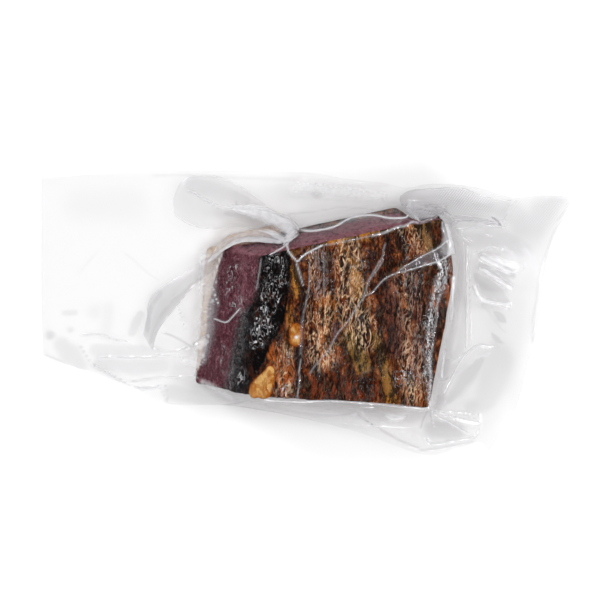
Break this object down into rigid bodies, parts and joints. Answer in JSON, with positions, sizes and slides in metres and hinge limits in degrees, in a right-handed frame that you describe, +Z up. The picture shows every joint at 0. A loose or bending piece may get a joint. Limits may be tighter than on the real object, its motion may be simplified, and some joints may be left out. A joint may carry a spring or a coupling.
{
  "type": "vacuum pack of smoked ham",
  "caption": "Wedge-cut block of dark smoked ham sealed in a clear vacuum bag, lying flat, with wide welded film margins and folds.",
  "frame": {"origin": "middle of the pack's outline seen from above, on the surface that it lies on", "axes": "+X towards the embossed, factory-sealed end of the bag, +Y away from its near long side, +Z up"},
  "size_m": [0.281, 0.1478, 0.0461],
  "materials": {
    "pack": "clear film drawn tight over dark smoked meat",
    "film": "clear glossy film with fine creases",
    "ham": "smoked meat, dark brown outside and purple where it is cut"
  },
  "bodies": {
    "root": {"vacuum_pack": "pack"}
  },
  "joints": []
}
